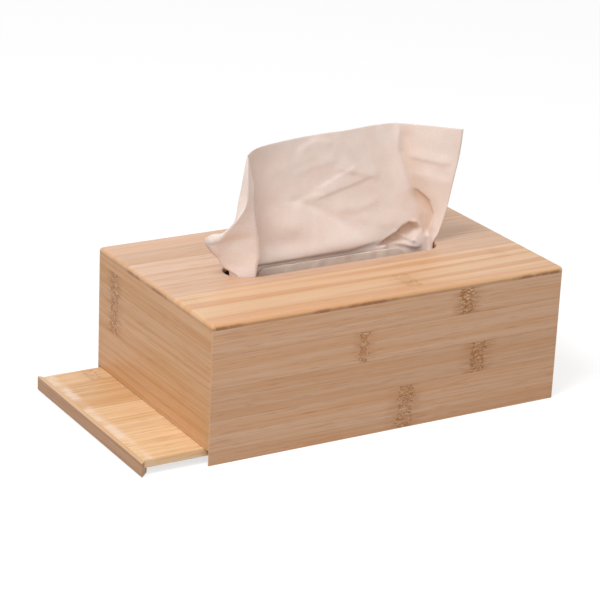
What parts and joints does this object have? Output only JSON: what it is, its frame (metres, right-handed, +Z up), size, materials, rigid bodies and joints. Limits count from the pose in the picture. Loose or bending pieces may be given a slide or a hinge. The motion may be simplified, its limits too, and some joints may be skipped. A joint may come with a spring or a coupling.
{
  "type": "tissue box with sliding base",
  "caption": "Bamboo tissue box with a round-ended dispensing slot in the top and a lipped base board that slides out of grooves for refilling.",
  "frame": {"origin": "on the table, half-way along and across the whole object as pictured, with its base drawn out 43 mm", "axes": "+X along the box away from the lip, +Y across the box towards the back wall, +Z up"},
  "size_m": [0.295, 0.15, 0.17],
  "materials": {
    "bamboo_front_wall": "satin lacquered bamboo",
    "bamboo_back_wall": "satin lacquered bamboo",
    "bamboo_lip_end_wall": "satin lacquered bamboo",
    "bamboo_closed_end_wall": "satin lacquered bamboo",
    "bamboo_top_board": "satin lacquered bamboo",
    "bamboo_base_board": "satin lacquered bamboo",
    "bamboo_base_lip": "satin lacquered bamboo",
    "stacked_tissue": "matt unbleached tissue",
    "drawn_tissue": "matt unbleached tissue",
    "next_tissue": "matt unbleached tissue"
  },
  "bodies": {
    "case": {"front_wall": "bamboo_front_wall", "back_wall": "bamboo_back_wall", "lip_end_wall": "bamboo_lip_end_wall", "closed_end_wall": "bamboo_closed_end_wall", "top_board": "bamboo_top_board", "tissue_stack": "stacked_tissue", "tissue_sheet": "drawn_tissue", "next_tissue": "next_tissue"},
    "sliding_base": {"base_board": "bamboo_base_board", "base_lip": "bamboo_base_lip"}
  },
  "joints": [
    {"name": "base_slide", "type": "slide", "parent": "case", "child": "sliding_base", "axis": [-1, 0, 0], "range_m": [-0.043, 0.2]}
  ]
}
